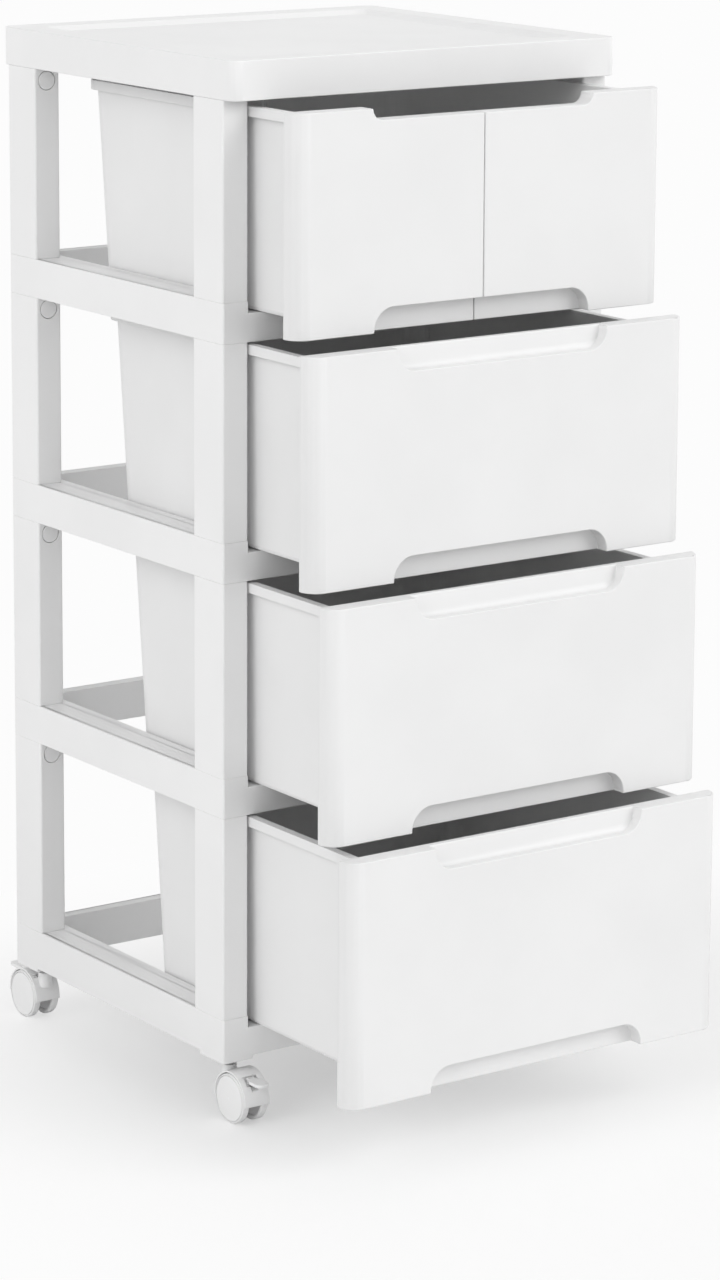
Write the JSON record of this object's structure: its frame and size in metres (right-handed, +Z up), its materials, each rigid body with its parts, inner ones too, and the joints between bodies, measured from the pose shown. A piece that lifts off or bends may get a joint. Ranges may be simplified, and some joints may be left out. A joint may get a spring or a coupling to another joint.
{
  "type": "plastic drawer tower",
  "caption": "White plastic drawer tower on casters: stacked frames on corner posts, a dished top tray, a pair of half-width drawers above wide drawers, all partly open.",
  "frame": {"origin": "centre of the footprint of the whole tower, drawers as open as they stand at rest, on the floor", "axes": "+Z up, -Y towards the drawer fronts, +X to the right seen from the front"},
  "size_m": [0.37, 0.5196, 0.8445],
  "materials": {
    "frame_plastic": "white satin moulded polypropylene",
    "peg_plastic": "white satin moulded polypropylene",
    "front_plastic": "white semi-gloss moulded polypropylene",
    "tub_plastic": "white satin moulded polypropylene, a little translucent",
    "caster_plastic": "white semi-gloss nylon",
    "wheel_plastic": "white semi-gloss nylon",
    "steel": "zinc-plated steel"
  },
  "bodies": {
    "tower": {"top_tray": "frame_plastic", "shelf_frame_1": "frame_plastic", "shelf_frame_2": "frame_plastic", "shelf_frame_3": "frame_plastic", "base_frame": "frame_plastic", "post_1_front_left": "frame_plastic", "post_1_front_right": "frame_plastic", "post_1_rear_left": "frame_plastic", "post_1_rear_right": "frame_plastic", "post_2_front_left": "frame_plastic", "post_2_front_right": "frame_plastic", "post_2_rear_left": "frame_plastic", "post_2_rear_right": "frame_plastic", "post_3_front_left": "frame_plastic", "post_3_front_right": "frame_plastic", "post_3_rear_left": "frame_plastic", "post_3_rear_right": "frame_plastic", "post_4_front_left": "frame_plastic", "post_4_front_right": "frame_plastic", "post_4_rear_left": "frame_plastic", "post_4_rear_right": "frame_plastic", "snap_pegs_1": "peg_plastic", "snap_pegs_2": "peg_plastic", "snap_pegs_3": "peg_plastic", "snap_pegs_4": "peg_plastic", "caster_front_left_stem": "steel", "caster_front_right_stem": "steel", "caster_rear_left_stem": "steel", "caster_rear_right_stem": "steel"},
    "drawer_1_left": {"drawer_1_left_tub": "tub_plastic", "drawer_1_left_front": "front_plastic"},
    "drawer_1_right": {"drawer_1_right_tub": "tub_plastic", "drawer_1_right_front": "front_plastic"},
    "drawer_2": {"drawer_2_tub": "tub_plastic", "drawer_2_front": "front_plastic"},
    "drawer_3": {"drawer_3_tub": "tub_plastic", "drawer_3_front": "front_plastic"},
    "drawer_4": {"drawer_4_tub": "tub_plastic", "drawer_4_front": "front_plastic"},
    "front_left_swivel": {"caster_front_left_hood": "caster_plastic", "caster_front_left_axle": "steel"},
    "front_left_left_wheel": {"caster_front_left_wheel_left": "wheel_plastic"},
    "front_left_right_wheel": {"caster_front_left_wheel_right": "wheel_plastic"},
    "front_left_pedal": {"caster_front_left_brake_lever": "caster_plastic"},
    "front_right_swivel": {"caster_front_right_hood": "caster_plastic", "caster_front_right_axle": "steel"},
    "front_right_left_wheel": {"caster_front_right_wheel_left": "wheel_plastic"},
    "front_right_right_wheel": {"caster_front_right_wheel_right": "wheel_plastic"},
    "front_right_pedal": {"caster_front_right_brake_lever": "caster_plastic"},
    "rear_left_swivel": {"caster_rear_left_hood": "caster_plastic", "caster_rear_left_axle": "steel"},
    "rear_left_left_wheel": {"caster_rear_left_wheel_left": "wheel_plastic"},
    "rear_left_right_wheel": {"caster_rear_left_wheel_right": "wheel_plastic"},
    "rear_left_pedal": {"caster_rear_left_brake_lever": "caster_plastic"},
    "rear_right_swivel": {"caster_rear_right_hood": "caster_plastic", "caster_rear_right_axle": "steel"},
    "rear_right_left_wheel": {"caster_rear_right_wheel_left": "wheel_plastic"},
    "rear_right_right_wheel": {"caster_rear_right_wheel_right": "wheel_plastic"},
    "rear_right_pedal": {"caster_rear_right_brake_lever": "caster_plastic"}
  },
  "joints": [
    {"name": "drawer_1_left_slide", "type": "slide", "parent": "tower", "child": "drawer_1_left", "axis": [0, -1, 0], "range_m": [-0.069, 0.1735]},
    {"name": "drawer_1_right_slide", "type": "slide", "parent": "tower", "child": "drawer_1_right", "axis": [0, -1, 0], "range_m": [-0.069, 0.1735]},
    {"name": "drawer_2_slide", "type": "slide", "parent": "tower", "child": "drawer_2", "axis": [0, -1, 0], "range_m": [-0.097, 0.1455]},
    {"name": "drawer_3_slide", "type": "slide", "parent": "tower", "child": "drawer_3", "axis": [0, -1, 0], "range_m": [-0.123, 0.1195]},
    {"name": "drawer_4_slide", "type": "slide", "parent": "tower", "child": "drawer_4", "axis": [0, -1, 0], "range_m": [-0.15, 0.0925]},
    {"name": "front_left_swivel_turn", "type": "hinge", "parent": "tower", "child": "front_left_swivel", "pos_m": [-0.1675, -0.07525, 0.0424], "axis": [0, 0, 1], "continuous": true},
    {"name": "front_left_left_wheel_spin", "type": "hinge", "parent": "front_left_swivel", "child": "front_left_left_wheel", "pos_m": [-0.1765, -0.09325, 0.02], "axis": [1, 0, 0], "continuous": true},
    {"name": "front_left_right_wheel_spin", "type": "hinge", "parent": "front_left_swivel", "child": "front_left_right_wheel", "pos_m": [-0.1585, -0.09325, 0.02], "axis": [1, 0, 0], "continuous": true},
    {"name": "front_left_pedal_press", "type": "hinge", "parent": "front_left_swivel", "child": "front_left_pedal", "pos_m": [-0.1675, -0.10225, 0.034], "axis": [1, 0, 0], "range_deg": [0, 15]},
    {"name": "front_right_swivel_turn", "type": "hinge", "parent": "tower", "child": "front_right_swivel", "pos_m": [0.1675, -0.07525, 0.0424], "axis": [0, 0, 1], "continuous": true},
    {"name": "front_right_left_wheel_spin", "type": "hinge", "parent": "front_right_swivel", "child": "front_right_left_wheel", "pos_m": [0.1585, -0.09325, 0.02], "axis": [1, 0, 0], "continuous": true},
    {"name": "front_right_right_wheel_spin", "type": "hinge", "parent": "front_right_swivel", "child": "front_right_right_wheel", "pos_m": [0.1765, -0.09325, 0.02], "axis": [1, 0, 0], "continuous": true},
    {"name": "front_right_pedal_press", "type": "hinge", "parent": "front_right_swivel", "child": "front_right_pedal", "pos_m": [0.1675, -0.10225, 0.034], "axis": [1, 0, 0], "range_deg": [0, 15]},
    {"name": "rear_left_swivel_turn", "type": "hinge", "parent": "tower", "child": "rear_left_swivel", "pos_m": [-0.1675, 0.20875, 0.0424], "axis": [0, 0, 1], "continuous": true},
    {"name": "rear_left_left_wheel_spin", "type": "hinge", "parent": "rear_left_swivel", "child": "rear_left_left_wheel", "pos_m": [-0.1765, 0.22675, 0.02], "axis": [1, 0, 0], "continuous": true},
    {"name": "rear_left_right_wheel_spin", "type": "hinge", "parent": "rear_left_swivel", "child": "rear_left_right_wheel", "pos_m": [-0.1585, 0.22675, 0.02], "axis": [1, 0, 0], "continuous": true},
    {"name": "rear_left_pedal_press", "type": "hinge", "parent": "rear_left_swivel", "child": "rear_left_pedal", "pos_m": [-0.1675, 0.23575, 0.034], "axis": [-1, 0, 0], "range_deg": [0, 15]},
    {"name": "rear_right_swivel_turn", "type": "hinge", "parent": "tower", "child": "rear_right_swivel", "pos_m": [0.1675, 0.20875, 0.0424], "axis": [0, 0, 1], "continuous": true},
    {"name": "rear_right_left_wheel_spin", "type": "hinge", "parent": "rear_right_swivel", "child": "rear_right_left_wheel", "pos_m": [0.1585, 0.22675, 0.02], "axis": [1, 0, 0], "continuous": true},
    {"name": "rear_right_right_wheel_spin", "type": "hinge", "parent": "rear_right_swivel", "child": "rear_right_right_wheel", "pos_m": [0.1765, 0.22675, 0.02], "axis": [1, 0, 0], "continuous": true},
    {"name": "rear_right_pedal_press", "type": "hinge", "parent": "rear_right_swivel", "child": "rear_right_pedal", "pos_m": [0.1675, 0.23575, 0.034], "axis": [-1, 0, 0], "range_deg": [0, 15]}
  ]
}
